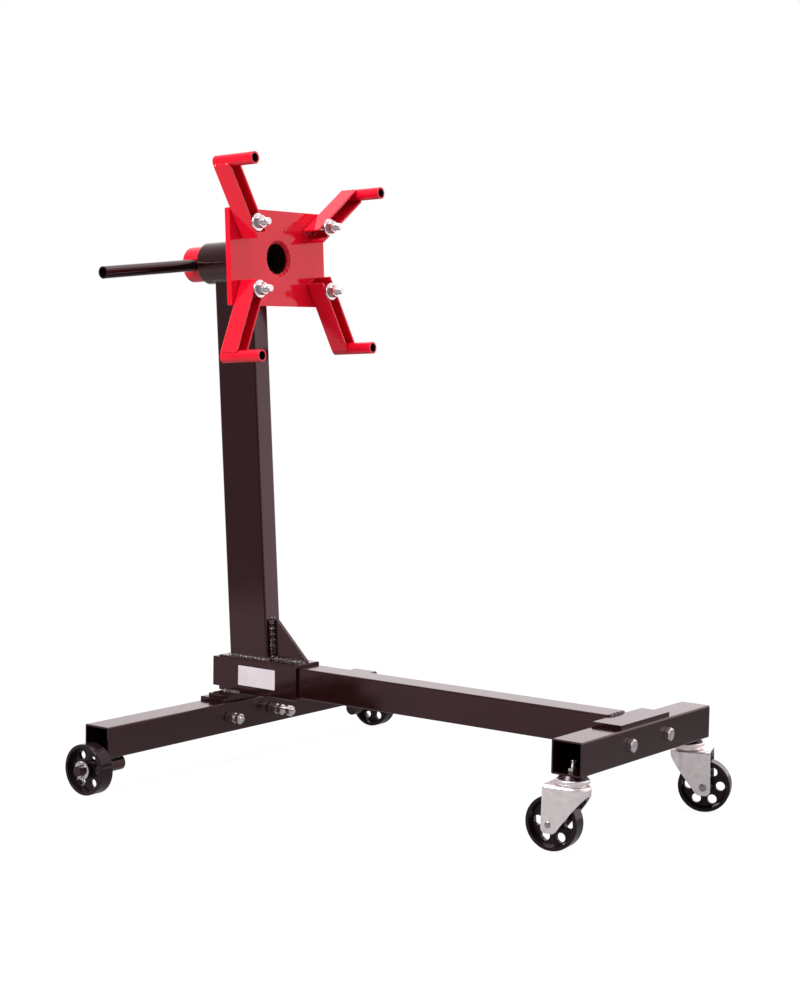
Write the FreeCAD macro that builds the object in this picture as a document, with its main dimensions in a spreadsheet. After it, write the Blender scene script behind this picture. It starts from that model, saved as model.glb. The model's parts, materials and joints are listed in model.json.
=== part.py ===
# Engine stand: a T-shaped rolling base, a leaning column and a rotating head with four arms.
#
# Millimetres, +Z up, +X towards the two casters, origin on the floor under the middle of the
# whole stand. Left is -Y and right is +Y, as seen when facing the mounting plate.

import FreeCAD, Part

import math
import os

import Sketcher
from FreeCAD import Placement, Rotation, Vector

DIMENSIONS = {
    # base: two crossbars joined by the main beam
    "rear_x": -354.94,
    "crossbar_spacing": 761.6,
    "tube_side": 50,
    "tube_wall": 2.5,
    "tube_corner": 2.5,
    "tube_inner_corner": 1,
    "rear_length": 685,
    "rear_height": 79,
    "front_length": 371,
    "front_height": 137,
    "beam_height": 145.5,
    "beam_tail": 44,
    "angle_side": 50,
    "angle_thick": 6,
    "angle_length": 140,
    "joint_offset": 54,
    "rear_joint_rise": -1,
    "front_joint_rise": 1,
    "joint_hole_play": 0.5,
    # column and its foot
    "receiver_side": 60,
    "receiver_wall": 4.5,
    "receiver_corner": 3,
    "receiver_back": 26,
    "receiver_front": 142,
    "foot_length": 44,
    "foot_shift": 2,
    "foot_width": 124,
    "foot_thick": 5.5,
    "column_depth": 82,
    "column_width": 37,
    "column_wall": 3,
    "column_corner": 3,
    "column_x": 29,
    "column_length": 660.5,
    "column_lean": 3.9,
    "gusset_rise": 66,
    "gusset_top": 12,
    "gusset_toe": 4,
    "gusset_thick": 6,
    "weld_leg": 4,
    "fit_gap": 0.05,
    "label_start": 17,
    "label_length": 80,
    "label_height": 33,
    "label_thick": 0.4,
    # rotating head
    "head_tilt": 3,
    "running_play": 0.08,
    "plate_reach": 84.8,
    "plate_width": 236,
    "plate_height": 156,
    "plate_thick": 10,
    "plate_corner": 2,
    "bearing_radius": 35,
    "bearing_length": 138,
    "bearing_gap": 1,
    "spindle_radius": 30,
    "spindle_bore": 25,
    "spindle_recess": 5,
    "spindle_length": 181,
    "handle_setback": 160,
    "handle_radius": 10,
    "handle_wall": 2.5,
    "handle_near": 245,
    "handle_far": 165,
    "handle_turn": 5,
    # arms
    "arm_bolt_y": 91,
    "arm_bolt_z": 53,
    "arm_depth": 35,
    "arm_width": 25,
    "arm_wall": 3,
    "arm_corner": 3,
    "arm_tail": 130,
    "arm_gap": 3,
    "arm_clearance": 0.1,
    "slot_near": 103,
    "slot_far": 121,
    "sleeve_radius": 10,
    "sleeve_bore": 7,
    "sleeve_length": 80,
    # wheels
    "wheel_radius": 40,
    "wheel_width": 26,
    "rim_inner": 33,
    "wheel_web": 6,
    "hub_radius": 13,
    "rear_hub": 27,
    "caster_hub": 36,
    "wheel_hole": 7,
    "wheel_hole_circle": 24,
    "tread_round": 2,
    "axle_radius": 8,
    "axle_shoulder": 12,
    "axle_inner": 47,
    "shoulder_step": 7,
    "axle_shift": 4,
    "wheel_play": 0.2,
    "axle_overhang": 9,
    "axle_washer_radius": 15,
    "axle_washer_thick": 2.5,
    # casters
    "caster_inset": 18,
    "caster_trail": 27,
    "cup_top": 18.4,
    "cup_radius": 21.7,
    "cup_height": 5.3,
    "race_radius": 24.5,
    "race_height": 7,
    "race_gap": 0.5,
    "race_neck": 20,
    "race_bottom": 15.5,
    "fork_top": 3,
    "fork_gap": 38,
    "fork_wall": 3,
    "fork_nose": 5,
    "fork_skirt": 10,
    "fork_bend": 5,
    "fork_back": 36.5,
    "fork_heel": 38.5,
    "fork_toe": 18,
    "fork_drop": 12.7,
    "fork_foot": 8,
    "rivet_radius": 4,
    "rivet_head": 6,
    "rivet_end": 4.8,
    "ball_circle": 15,
    "ball_radius": 2.5,
    "ball_play": 0.1,
    "stem_radius": 4,
    "stem_top": 20,
    "stem_head": 9,
    "bush_radius": 6,
}

# Thread radius, half of the width across flats, head height and nut height of each screw size.
SCREWS = {
    "m8": (4, 6.5, 5.3, 6.5),
    "m10": (5, 8, 6.4, 8),
    "m12": (6, 9, 7.5, 10),
}

SIDES = {"left": -1, "right": 1}

# Each arm: its quadrant, the angle from vertical that it points outwards at, and the distance
# from its bolt to its sleeve, which the slot lets change.
ARMS = {
    "upper_left": (-1, 1, 29.8, 108.5),
    "upper_right": (1, 1, 55.5, 104),
    "lower_left": (-1, -1, 25, 118.5),
    "lower_right": (1, -1, 29, 108.8),
}

# Direction that each caster trails in, as an angle about +Z from its forward position.
CASTER_SWIVEL = {"left": 7, "right": 200}

ALONG_X = Rotation(Vector(0, 1, 0), 90)
ALONG_Y = Rotation(Vector(1, 0, 0), -90)
ALONG_Z = Rotation()

doc = FreeCAD.newDocument("EngineStand")
sheet = doc.addObject("Spreadsheet::Sheet", "Dims")
kept = []


# ---------------------------------------------------------------- sheet and object helpers


def fill_sheet():
    """Writes one row per dimension: its name, and its value under that name as alias."""
    for row, (alias, size) in enumerate(DIMENSIONS.items(), start=1):
        sheet.set(f"A{row}", alias)
        sheet.set(f"B{row}", str(size))
        sheet.setAlias(f"B{row}", alias)
    doc.recompute()


def number(expression):
    """The value of an expression in the sheet's names."""
    result = sheet.evalExpression(expression)
    return float(getattr(result, "Value", result))


def dim(name):
    return number(f"Dims.{name}")


def keep(obj, label, placement=None):
    """Marks an object as a sub-part under its node name, and places it."""
    if placement is not None:
        obj.Placement = placement
    obj.Label = label
    kept.append(obj)
    return obj


def bind(obj, **bindings):
    for name, expression in bindings.items():
        obj.setExpression(name, expression)
    return obj


def at(x, y, z, rotation=ALONG_Z):
    return Placement(Vector(x, y, z), rotation)


# ---------------------------------------------------------------- Part primitives


def block(length, width, height, placement):
    """A box whose corner is at the placement."""
    shape = doc.addObject("Part::Box", "Block")
    bind(shape, Length=length, Width=width, Height=height)
    shape.Placement = placement
    return shape


def rod(radius, length, placement):
    """A cylinder from the placement along its Z."""
    shape = doc.addObject("Part::Cylinder", "Rod")
    bind(shape, Radius=radius, Height=length)
    shape.Placement = placement
    return shape


def cone(low_radius, high_radius, height, placement):
    shape = doc.addObject("Part::Cone", "Cone")
    bind(shape, Radius1=low_radius, Radius2=high_radius, Height=height)
    shape.Placement = placement
    return shape


def hexagon(half_flats, length, placement):
    """A hexagonal prism from the placement along its Z."""
    shape = doc.addObject("Part::Prism", "Hexagon")
    shape.Polygon = 6
    shape.Circumradius = half_flats / math.cos(math.pi / 6)
    shape.Height = length
    shape.Placement = placement
    return shape


def ring(radius, tube, placement):
    shape = doc.addObject("Part::Torus", "Ring")
    bind(shape, Radius1=radius, Radius2=tube)
    shape.Placement = placement
    return shape


def cut(base, tool):
    result = doc.addObject("Part::Cut", "Cut")
    result.Base = base
    result.Tool = tool
    return result


def fuse(*shapes):
    result = doc.addObject("Part::MultiFuse", "Fuse")
    result.Shapes = list(shapes)
    return result


def group(label, shapes):
    """Separate solids that share one node."""
    result = doc.addObject("Part::Compound", "Group")
    result.Links = list(shapes)
    return keep(result, label)


def tube(outer, bore, length, placement):
    start = Placement(Vector(0, 0, 0), ALONG_Z)
    result = cut(rod(outer, length, start), rod(bore, length, start))
    result.Placement = placement
    return result


def screw(size, length, placement):
    """A hexagon-head screw: the head's underside at the placement, the shank along its Z."""
    radius, half_flats, head, _ = SCREWS[size]
    result = fuse(
        rod(str(radius), str(length), at(0, 0, 0)),
        hexagon(half_flats, head, at(0, 0, -head)),
    )
    result.Placement = placement
    return result


def nut(size, placement):
    """A hexagon nut: its bearing face at the placement, its bore along Z."""
    radius, half_flats, _, height = SCREWS[size]
    bore = rod(f"{radius} + Dims.running_play", str(height), at(0, 0, 0))
    result = cut(hexagon(half_flats, height, at(0, 0, 0)), bore)
    result.Placement = placement
    return result


# ---------------------------------------------------------------- PartDesign helpers


def new_body(name):
    return doc.addObject("PartDesign::Body", name)


def origin_feature(body, role):
    return next(feature for feature in body.Origin.OriginFeatures if feature.Role == role)


def new_sketch(body, role, offset=None):
    sketch = body.newObject("Sketcher::SketchObject", "Sketch")
    sketch.AttachmentSupport = [(origin_feature(body, role), "")]
    sketch.MapMode = "FlatFace"
    if offset is not None:
        sketch.AttachmentOffset = at(0, 0, offset)
    return sketch


def constrain(sketch, expression, kind, *geometry):
    """Adds a dimension to a sketch and binds it to an expression."""
    index = sketch.addConstraint(Sketcher.Constraint(kind, *geometry, number(expression)))
    sketch.setExpression(f"Constraints[{index}]", expression)


def rounded_rectangle(sketch, width, height, radius):
    """A centred rectangle with round corners, sized by three expressions."""
    across, up, bend = number(width) / 2, number(height) / 2, number(radius)
    first = len(sketch.Geometry)
    quarter = math.pi / 2
    for turn, (side, level) in enumerate(((1, 1), (-1, 1), (-1, -1), (1, -1))):
        centre = Vector(side * (across - bend), level * (up - bend), 0)
        circle = Part.Circle(centre, Vector(0, 0, 1), bend)
        sketch.addGeometry(Part.ArcOfCircle(circle, turn * quarter, (turn + 1) * quarter))
    for turn in range(4):
        start = sketch.Geometry[first + turn].EndPoint
        end = sketch.Geometry[first + (turn + 1) % 4].StartPoint
        sketch.addGeometry(Part.LineSegment(start, end))
    for turn in range(4):
        arc, line, next_arc = first + turn, first + 4 + turn, first + (turn + 1) % 4
        sketch.addConstraint(Sketcher.Constraint("Tangent", arc, 2, line, 1))
        sketch.addConstraint(Sketcher.Constraint("Tangent", line, 2, next_arc, 1))
        sketch.addConstraint(Sketcher.Constraint("Vertical" if turn % 2 else "Horizontal", line))
        if turn:
            sketch.addConstraint(Sketcher.Constraint("Equal", first, arc))
    sketch.addConstraint(Sketcher.Constraint("Symmetric", first, 3, first + 2, 3, -1, 1))
    constrain(sketch, radius, "Radius", first)
    constrain(sketch, width, "DistanceX", first + 5, 1, first + 7, 1)
    constrain(sketch, height, "DistanceY", first + 6, 1, first + 4, 1)


def polygon(sketch, corners):
    """A closed outline; each corner is a pair of expressions."""
    first = len(sketch.Geometry)
    points = [Vector(number(x), number(y), 0) for x, y in corners]
    count = len(points)
    for index in range(count):
        sketch.addGeometry(Part.LineSegment(points[index], points[(index + 1) % count]))
    for index, (x, y) in enumerate(corners):
        line, next_line = first + index, first + (index + 1) % count
        sketch.addConstraint(Sketcher.Constraint("Coincident", line, 2, next_line, 1))
        constrain(sketch, x, "DistanceX", -1, 1, line, 1)
        constrain(sketch, y, "DistanceY", -1, 1, line, 1)


def circle(sketch, x, y, radius):
    geometry = sketch.addGeometry(
        Part.Circle(Vector(number(x), number(y), 0), Vector(0, 0, 1), number(radius))
    )
    constrain(sketch, x, "DistanceX", -1, 1, geometry, 3)
    constrain(sketch, y, "DistanceY", -1, 1, geometry, 3)
    constrain(sketch, radius, "Radius", geometry)


def pad(body, sketch, length, symmetric=False, reverse=False):
    feature = body.newObject("PartDesign::Pad", "Pad")
    feature.Profile = sketch
    feature.SideType = "Symmetric" if symmetric else "One side"
    feature.Reversed = reverse
    feature.setExpression("Length", length)
    doc.recompute()
    return feature


def pocket(body, sketch, length=None, reverse=False):
    """Cuts a given length, or right through both ways when no length is given."""
    before = body.Shape.Volume
    feature = body.newObject("PartDesign::Pocket", "Pocket")
    feature.Profile = sketch
    feature.Reversed = reverse
    if length is None:
        feature.Type = "ThroughAll"
        feature.SideType = "Symmetric"
    else:
        feature.setExpression("Length", length)
    doc.recompute()
    if body.Shape.Volume > before - 0.01:
        raise RuntimeError(f"a pocket in {body.Name} cuts nothing")
    return feature


def revolve(body, sketch, axis_role):
    feature = body.newObject("PartDesign::Revolution", "Revolution")
    feature.Profile = sketch
    feature.ReferenceAxis = (origin_feature(body, axis_role), [""])
    feature.Angle = 360
    doc.recompute()
    return feature


def round_edges(body, radius, chosen):
    """Fillets the edges for which chosen(edge) is true."""
    base = body.Tip
    names = [f"Edge{i}" for i, edge in enumerate(base.Shape.Edges, start=1) if chosen(edge)]
    if not names:
        raise RuntimeError(f"no edge to round in {body.Name}")
    feature = body.newObject("PartDesign::Fillet", "Fillet")
    feature.Base = (base, names)
    feature.setExpression("Radius", radius)
    doc.recompute()
    return feature


def is_along(edge, direction):
    """True for a straight edge parallel to a direction."""
    if len(edge.Vertexes) != 2 or not isinstance(edge.Curve, Part.Line):
        return False
    return abs(abs(edge.tangentAt(edge.FirstParameter).dot(direction)) - 1) < 1e-6


def hollow_section(sketch, width, height, wall, corner):
    """Outline of a rectangular tube with round corners."""
    rounded_rectangle(sketch, width, height, corner)
    rounded_rectangle(sketch, f"{width} - 2 * {wall}", f"{height} - 2 * {wall}",
                      "Dims.tube_inner_corner")


def square_tube(name, side, wall, corner, length, plane, symmetric):
    """A square tube along the normal of an origin plane."""
    body = new_body(name)
    sketch = new_sketch(body, plane)
    hollow_section(sketch, side, side, wall, corner)
    pad(body, sketch, length, symmetric)
    return body


# ---------------------------------------------------------------- frames of reference


def front_x():
    return dim("rear_x") + dim("crossbar_spacing")


def receiver_top():
    return dim("beam_height") + dim("receiver_side") / 2


def column_frame():
    """Origin at the column's foot on the receiver's top, Z up the leaning column."""
    lean = Rotation(Vector(0, 1, 0), -dim("column_lean"))
    return at(dim("rear_x") + dim("column_x"), 0, receiver_top(), lean)


def head_frame():
    """Origin at the middle of the plate's front face, X out along the head's axis."""
    top = column_frame().multVec(Vector(0, 0, dim("column_length")))
    tilt = Rotation(Vector(0, 1, 0), -dim("head_tilt"))
    return Placement(top, tilt) * at(dim("plate_reach"), 0, 0)


def handle_frame():
    """Origin where the handle crosses the head's axis, Z along the handle to the right."""
    turn = Rotation(Vector(1, 0, 0), dim("handle_turn")) * ALONG_Y
    return head_frame() * at(-dim("handle_setback"), 0, 0, turn)


def arm_frame(arm):
    """Origin at an arm's sleeve, X out of the plate, Z from the bolt to the sleeve."""
    side, level, outward, reach = ARMS[arm]
    angle = outward if level > 0 else 180 - outward
    swing = Rotation(Vector(1, 0, 0), -side * angle)
    bolt = at(dim("arm_clearance"), side * dim("arm_bolt_y"), level * dim("arm_bolt_z"), swing)
    return head_frame() * bolt * at(0, 0, reach)


def caster_frame(side):
    """Origin on the swivel axis at the crossbar's underside; the wheel trails to -X."""
    y = SIDES[side] * (dim("front_length") / 2 - dim("caster_inset"))
    z = dim("front_height") - dim("tube_side") / 2
    return at(front_x(), y, z, Rotation(Vector(0, 0, 1), CASTER_SWIVEL[side]))


# ---------------------------------------------------------------- base


def bolt_holes(body, screw_size, rise):
    """Two holes along X through a crossbar or an angle's leg."""
    radius = SCREWS[screw_size][0]
    sketch = new_sketch(body, "YZ_Plane")
    for side in SIDES.values():
        circle(sketch, f"{side} * Dims.joint_offset", rise, f"{radius} + Dims.joint_hole_play")
    pocket(body, sketch)


def rear_crossbar():
    body = square_tube("RearCrossbar", "Dims.tube_side", "Dims.tube_wall", "Dims.tube_corner",
                       "Dims.rear_length", "XZ_Plane", True)
    bolt_holes(body, "m10", "Dims.rear_joint_rise")
    keep(body, "rear_crossbar", at(dim("rear_x"), 0, dim("rear_height")))


def front_crossbar():
    body = square_tube("FrontCrossbar", "Dims.tube_side", "Dims.tube_wall", "Dims.tube_corner",
                       "Dims.front_length", "XZ_Plane", True)
    bolt_holes(body, "m12", "Dims.front_joint_rise")
    sketch = new_sketch(body, "XY_Plane")
    for side in SIDES.values():
        circle(sketch, "0", f"{side} * (Dims.front_length / 2 - Dims.caster_inset)",
               "Dims.stem_radius + Dims.joint_hole_play")
    pocket(body, sketch, "Dims.tube_side")
    keep(body, "front_crossbar", at(front_x(), 0, dim("front_height")))


def main_beam():
    """Runs from behind the receiver to the back face of the front angle's leg."""
    length = ("Dims.beam_tail + Dims.crossbar_spacing - Dims.tube_side / 2"
              " - Dims.angle_thick")
    body = square_tube("MainBeam", "Dims.tube_side", "Dims.tube_wall", "Dims.tube_corner",
                       length, "YZ_Plane", False)
    keep(body, "main_beam", at(dim("rear_x") - dim("beam_tail"), 0, dim("beam_height")))


def receiver_sleeve():
    body = square_tube("ReceiverSleeve", "Dims.receiver_side", "Dims.receiver_wall",
                       "Dims.receiver_corner", "Dims.receiver_back + Dims.receiver_front",
                       "YZ_Plane", False)
    keep(body, "receiver_sleeve",
         at(dim("rear_x") - dim("receiver_back"), 0, dim("beam_height")))


def foot_plate():
    """Flat plate between the rear angle and the receiver."""
    bottom = dim("rear_height") + dim("tube_side") / 2 + dim("angle_thick")
    back = dim("rear_x") + dim("foot_shift") - dim("foot_length") / 2
    corner = at(back, -dim("foot_width") / 2, bottom)
    plate = block("Dims.foot_length", "Dims.foot_width", "Dims.foot_thick", corner)
    keep(plate, "foot_plate")


def angle_iron(label, screw_size, rise, crossbar_x, crossbar_z):
    """An angle over a crossbar: one leg on its top, one on its back face."""
    body = new_body(label.title().replace("_", ""))
    sketch = new_sketch(body, "XZ_Plane")
    back = "-Dims.tube_side / 2 - Dims.angle_thick"
    inner_x = "-Dims.tube_side / 2"
    inner_z = "Dims.tube_side / 2"
    front = "-Dims.tube_side / 2 - Dims.angle_thick + Dims.angle_side"
    top = "Dims.tube_side / 2 + Dims.angle_thick"
    bottom = "Dims.tube_side / 2 + Dims.angle_thick - Dims.angle_side"
    polygon(sketch, [(back, bottom), (inner_x, bottom), (inner_x, inner_z), (front, inner_z),
                     (front, top), (back, top)])
    pad(body, sketch, "Dims.angle_length", symmetric=True)
    bolt_holes(body, screw_size, rise)
    along_y = Vector(0, 1, 0)
    outer = dim("tube_side") / 2 + dim("angle_thick")
    round_edges(body, "Dims.angle_thick / 2",
                lambda edge: is_along(edge, along_y)
                and abs(edge.CenterOfMass.x + outer) < 0.1
                and abs(edge.CenterOfMass.z - outer) < 0.1)
    keep(body, label, at(crossbar_x, 0, crossbar_z))


def joint_screws():
    """Screws that hold each crossbar to its angle: heads behind at the rear, in front at the front."""
    half = dim("tube_side") / 2
    leg = dim("angle_thick")
    offset = dim("joint_offset")
    reach = {"left": 24, "right": 44}
    nut_steps = {"left": (0, 12), "right": (0, 12, 32)}
    rear_back = dim("rear_x") - half - leg
    rear_front = dim("rear_x") + half
    rear_z = dim("rear_height") + dim("rear_joint_rise")
    front_z = dim("front_height") + dim("front_joint_rise")
    group("rear_joint_bolts", [
        screw("m10", 2 * half + leg + reach[side],
              at(rear_back, sign * offset, rear_z, ALONG_X))
        for side, sign in SIDES.items()])
    group("rear_joint_nuts", [
        nut("m10", at(rear_front + step, sign * offset, rear_z, ALONG_X))
        for side, sign in SIDES.items() for step in nut_steps[side]])
    backwards = Rotation(Vector(0, 1, 0), -90)
    thread_end = 13
    group("front_joint_bolts", [
        screw("m12", 2 * half + leg + thread_end,
              at(front_x() + half, sign * offset, front_z, backwards))
        for sign in SIDES.values()])
    group("front_joint_nuts", [
        nut("m12", at(front_x() - half - leg, sign * offset, front_z, backwards))
        for sign in SIDES.values()])


def axle_x():
    return dim("rear_x") + dim("axle_shift")


def wheel_inner_y():
    """Distance of a rear hub's inner face from the stand's middle."""
    return dim("rear_length") / 2 + dim("shoulder_step") + dim("wheel_play")


def wheel_outer_y():
    return wheel_inner_y() + dim("rear_hub")


def cotter_y():
    return wheel_outer_y() + dim("wheel_play") + dim("axle_washer_thick") + 2


def rear_axles():
    """Stub axles under the rear crossbar: a thick part welded on, a thinner part for the wheel."""
    start = dim("rear_length") / 2 - dim("axle_inner")
    shoulder = "Dims.axle_inner + Dims.shoulder_step"
    journal = ("2 * Dims.wheel_play + Dims.rear_hub + Dims.axle_washer_thick"
               " + Dims.axle_overhang")
    axles = []
    for sign in SIDES.values():
        stub = fuse(
            rod("Dims.axle_shoulder", shoulder, at(0, 0, 0)),
            rod("Dims.axle_radius", f"{shoulder} + {journal}", at(0, 0, 0)),
        )
        hole = rod("1.8", "3 * Dims.axle_radius",
                   at(0, -1.5 * dim("axle_radius"), cotter_y() - start, ALONG_Y))
        axle = cut(stub, hole)
        outwards = Rotation(Vector(1, 0, 0), -sign * 90)
        axle.Placement = at(axle_x(), sign * start, dim("wheel_radius"), outwards)
        axles.append(axle)
    group("rear_axles", axles)


def axle_welds():
    """Weld on both sides of each stub axle, up to the crossbar above it."""
    underside = dim("rear_height") - dim("tube_side") / 2
    half_width = 9
    length = dim("axle_inner") - 9
    low = dim("wheel_radius") + 6
    welds = []
    for sign in SIDES.values():
        outer = sign * (dim("rear_length") / 2 - 3)
        start = min(outer, outer - sign * length)
        filler = block(str(2 * half_width), str(length), str(underside - low),
                       at(axle_x() - half_width, start, low))
        clear = rod("Dims.axle_shoulder + Dims.fit_gap", str(length),
                    at(axle_x(), start, dim("wheel_radius"), ALONG_Y))
        welds.append(cut(filler, clear))
    group("axle_welds", welds)


def axle_washers():
    washers = []
    for sign in SIDES.values():
        inner = sign * (wheel_outer_y() + dim("wheel_play"))
        start = min(inner, inner + sign * dim("axle_washer_thick"))
        washers.append(tube("Dims.axle_washer_radius", "Dims.axle_radius + Dims.wheel_play",
                            "Dims.axle_washer_thick",
                            at(axle_x(), start, dim("wheel_radius"), ALONG_Y)))
    group("axle_washers", washers)


def cotter_pins():
    """Split pins through the axle ends: a straight shank with an eye and two spread legs."""
    pins = []
    shank = 1.6
    leg = 9
    for sign in SIDES.values():
        below = dim("axle_radius") + 1
        parts = [
            rod(str(shank), str(2 * below), at(0, 0, -below)),
            ring("2.6", "1.2", at(0, 0, below + 2.6, ALONG_Y)),
        ]
        for spread in (-35, 35):
            lean = Rotation(Vector(0, 1, 0), 180 + spread)
            parts.append(rod("1.2", str(leg), at(0, 0, -below + 0.5, lean)))
        pin = fuse(*parts)
        pin.Placement = at(axle_x(), sign * cotter_y(), dim("wheel_radius"))
        pins.append(pin)
    group("cotter_pins", pins)


# ---------------------------------------------------------------- column


def column():
    """Leaning tube, trimmed flat at its foot and coped round the bearing tube at its top."""
    body = new_body("Column")
    sketch = new_sketch(body, "XY_Plane", -10)
    hollow_section(sketch, "Dims.column_depth", "Dims.column_width", "Dims.column_wall",
                   "Dims.column_corner")
    pad(body, sketch, "Dims.column_length + 10")
    body.Placement = column_frame()
    floor = block("3 * Dims.column_depth", "3 * Dims.column_width", "40",
                  at(dim("rear_x") + dim("column_x") - 1.5 * dim("column_depth"),
                     -1.5 * dim("column_width"), receiver_top() - 40))
    axis_start = head_frame() * at(-dim("plate_reach") - dim("column_depth"), 0, 0, ALONG_X)
    cope = rod("Dims.bearing_radius + Dims.fit_gap", "2 * Dims.column_depth", axis_start)
    keep(cut(cut(body, floor), cope), "column")


def gusset_profile():
    """Corners of the gusset in the X-Z plane, from the foot of the column's front face."""
    lean = "tan(Dims.column_lean * 1 deg)"
    face = f"Dims.column_depth / 2 / cos(Dims.column_lean * 1 deg)"
    toe = "Dims.receiver_front - Dims.column_x - 0.5"
    return [
        (face, "0"),
        (toe, "0"),
        (toe, "Dims.gusset_toe"),
        (f"{face} - Dims.gusset_rise * {lean} + Dims.gusset_top", "Dims.gusset_rise"),
        (f"{face} - Dims.gusset_rise * {lean}", "Dims.gusset_rise"),
    ]


def gusset():
    body = new_body("Gusset")
    sketch = new_sketch(body, "XZ_Plane")
    polygon(sketch, gusset_profile())
    pad(body, sketch, "Dims.gusset_thick", symmetric=True)
    keep(body, "gusset", at(dim("rear_x") + dim("column_x"), 0, receiver_top()))


def weld_bead(length, placement):
    """A triangular fillet along the placement's Z, its right angle on that line."""
    body = new_body("Weld")
    sketch = new_sketch(body, "XY_Plane")
    polygon(sketch, [("0", "0"), ("Dims.weld_leg", "0"), ("0", "Dims.weld_leg")])
    pad(body, sketch, length)
    body.Placement = placement
    return body


def frame_welds():
    """Beads beside the gusset, along the column's foot and at the beam's front end."""
    foot_x = dim("rear_x") + dim("column_x")
    top = receiver_top()
    lean = dim("column_lean")
    half_gusset = dim("gusset_thick") / 2
    face = dim("column_depth") / 2 / math.cos(math.radians(lean))
    rise = dim("gusset_rise") - 2
    reach = dim("receiver_front") - dim("column_x") - face - 12
    column_start = -dim("column_depth") / 2 + 6
    beam_end = front_x() - dim("tube_side") / 2 - dim("angle_thick")
    beam_low = dim("beam_height") - dim("tube_side") / 2
    beads = []
    for sign in SIDES.values():
        up = Rotation(Vector(1, 0, 0), Vector(0, sign, 0), Vector(0, 0, sign), "XYZ")
        tilt = Rotation(Vector(0, 1, 0), -lean)
        foot = Vector(foot_x + face, sign * half_gusset, top)
        if sign < 0:
            foot += tilt.multVec(Vector(0, 0, rise))
        beads.append(weld_bead(str(rise - 2), Placement(foot, tilt * up)
                               * at(0, 0, 2 if sign > 0 else 0)))
        along = Rotation(Vector(0, sign, 0), Vector(0, 0, 1), Vector(sign, 0, 0), "XYZ")
        start = face + 6 if sign > 0 else face + 6 + reach
        beads.append(weld_bead(str(reach), at(foot_x + start, sign * half_gusset, top, along)))
        side_length = dim("column_depth") - 12
        side_start = column_start if sign > 0 else column_start + side_length
        side = sign * dim("column_width") / 2
        beads.append(weld_bead(str(side_length), at(foot_x + side_start, side, top, along)))
        beam_side = sign * dim("tube_side") / 2
        upright = Rotation(Vector(-1, 0, 0), Vector(0, sign, 0), Vector(0, 0, -sign), "XYZ")
        beam_weld = dim("tube_side") - 12
        low = beam_low + 6 if sign < 0 else beam_low + 6 + beam_weld
        beads.append(weld_bead(str(beam_weld), at(beam_end, beam_side, low, upright)))
    group("frame_welds", beads)


def rating_label():
    """Blank sticker on the receiver's left face."""
    corner = at(dim("rear_x") + dim("label_start"), -dim("receiver_side") / 2 - dim("label_thick"),
                dim("beam_height") - dim("label_height") / 2)
    keep(block("Dims.label_length", "Dims.label_thick", "Dims.label_height", corner),
         "rating_label")


# ---------------------------------------------------------------- rotating head


def bearing_tube():
    rear = -dim("plate_thick") - dim("bearing_gap") - dim("bearing_length")
    keep(tube("Dims.bearing_radius", "Dims.spindle_radius + Dims.running_play",
              "Dims.bearing_length", head_frame() * at(rear, 0, 0, ALONG_X)), "bearing_tube")


def spindle_tube():
    """Red tube that turns in the bearing tube, drilled across for the handle."""
    rear = dim("spindle_recess") + dim("spindle_length")
    straight = tube("Dims.spindle_radius", "Dims.spindle_bore", "Dims.spindle_length",
                    head_frame() * at(-rear, 0, 0, ALONG_X))
    cross = rod("Dims.handle_radius + Dims.running_play", "3 * Dims.spindle_radius",
                handle_frame() * at(0, 0, -1.5 * dim("spindle_radius")))
    keep(cut(straight, cross), "spindle_tube")


def mounting_plate():
    body = new_body("MountingPlate")
    sketch = new_sketch(body, "YZ_Plane")
    rounded_rectangle(sketch, "Dims.plate_width", "Dims.plate_height", "Dims.plate_corner")
    circle(sketch, "0", "0", "Dims.spindle_radius")
    for side, level, _, _ in ARMS.values():
        circle(sketch, f"{side} * Dims.arm_bolt_y", f"{level} * Dims.arm_bolt_z",
               f"{SCREWS['m12'][0]} + Dims.running_play")
    pad(body, sketch, "Dims.plate_thick", reverse=True)
    keep(body, "mounting_plate", head_frame())


def head_weld():
    """Weld in the plate's hole, a sloping ring on the spindle's end."""
    depth = "(Dims.spindle_recess - 1)"
    start = head_frame() * at(-dim("spindle_recess"), 0, 0, ALONG_X)
    mouth = cone("Dims.spindle_bore + 0.5", "Dims.spindle_radius - 0.5", depth, start)
    keep(cut(rod("Dims.spindle_radius", depth, start), mouth), "head_weld")


def handle_bar():
    bar = tube("Dims.handle_radius", "Dims.handle_radius - Dims.handle_wall",
               "Dims.handle_near + Dims.handle_far",
               handle_frame() * at(0, 0, -dim("handle_near")))
    keep(bar, "handle_bar")


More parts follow.
